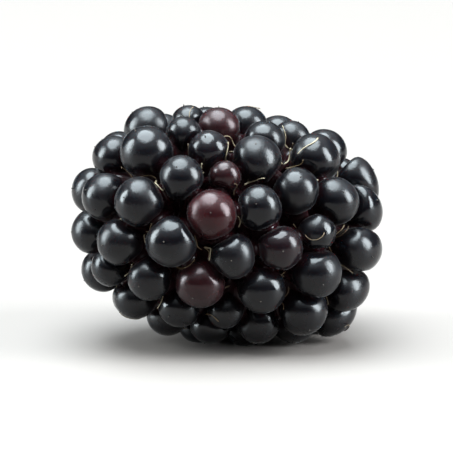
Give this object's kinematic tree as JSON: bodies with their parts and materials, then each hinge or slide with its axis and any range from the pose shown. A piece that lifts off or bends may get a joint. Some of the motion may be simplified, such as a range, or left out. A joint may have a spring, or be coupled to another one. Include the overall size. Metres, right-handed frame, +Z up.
{
  "type": "bramble_berry",
  "caption": "Ripe bramble berry lying on its side, a head of glossy black drupelets round a green receptacle end",
  "frame": {"origin": "on the surface the berry lies on, under the middle of its bounding box", "axes": "+Z up; the berry lies along X, its rounded tip towards -X and its stalk end towards +X"},
  "size_m": [0.0287, 0.0241, 0.0221],
  "materials": {
    "drupelet_skin": "taut glossy skin, black with a purple cast, a few drupelets still wine red",
    "receptacle_pith": "dull fibrous olive green, browner where the stalk tore off",
    "dried_style": "dry tan thread"
  },
  "bodies": {
    "root": {"drupelets": "drupelet_skin", "receptacle": "receptacle_pith"}
  },
  "joints": []
}
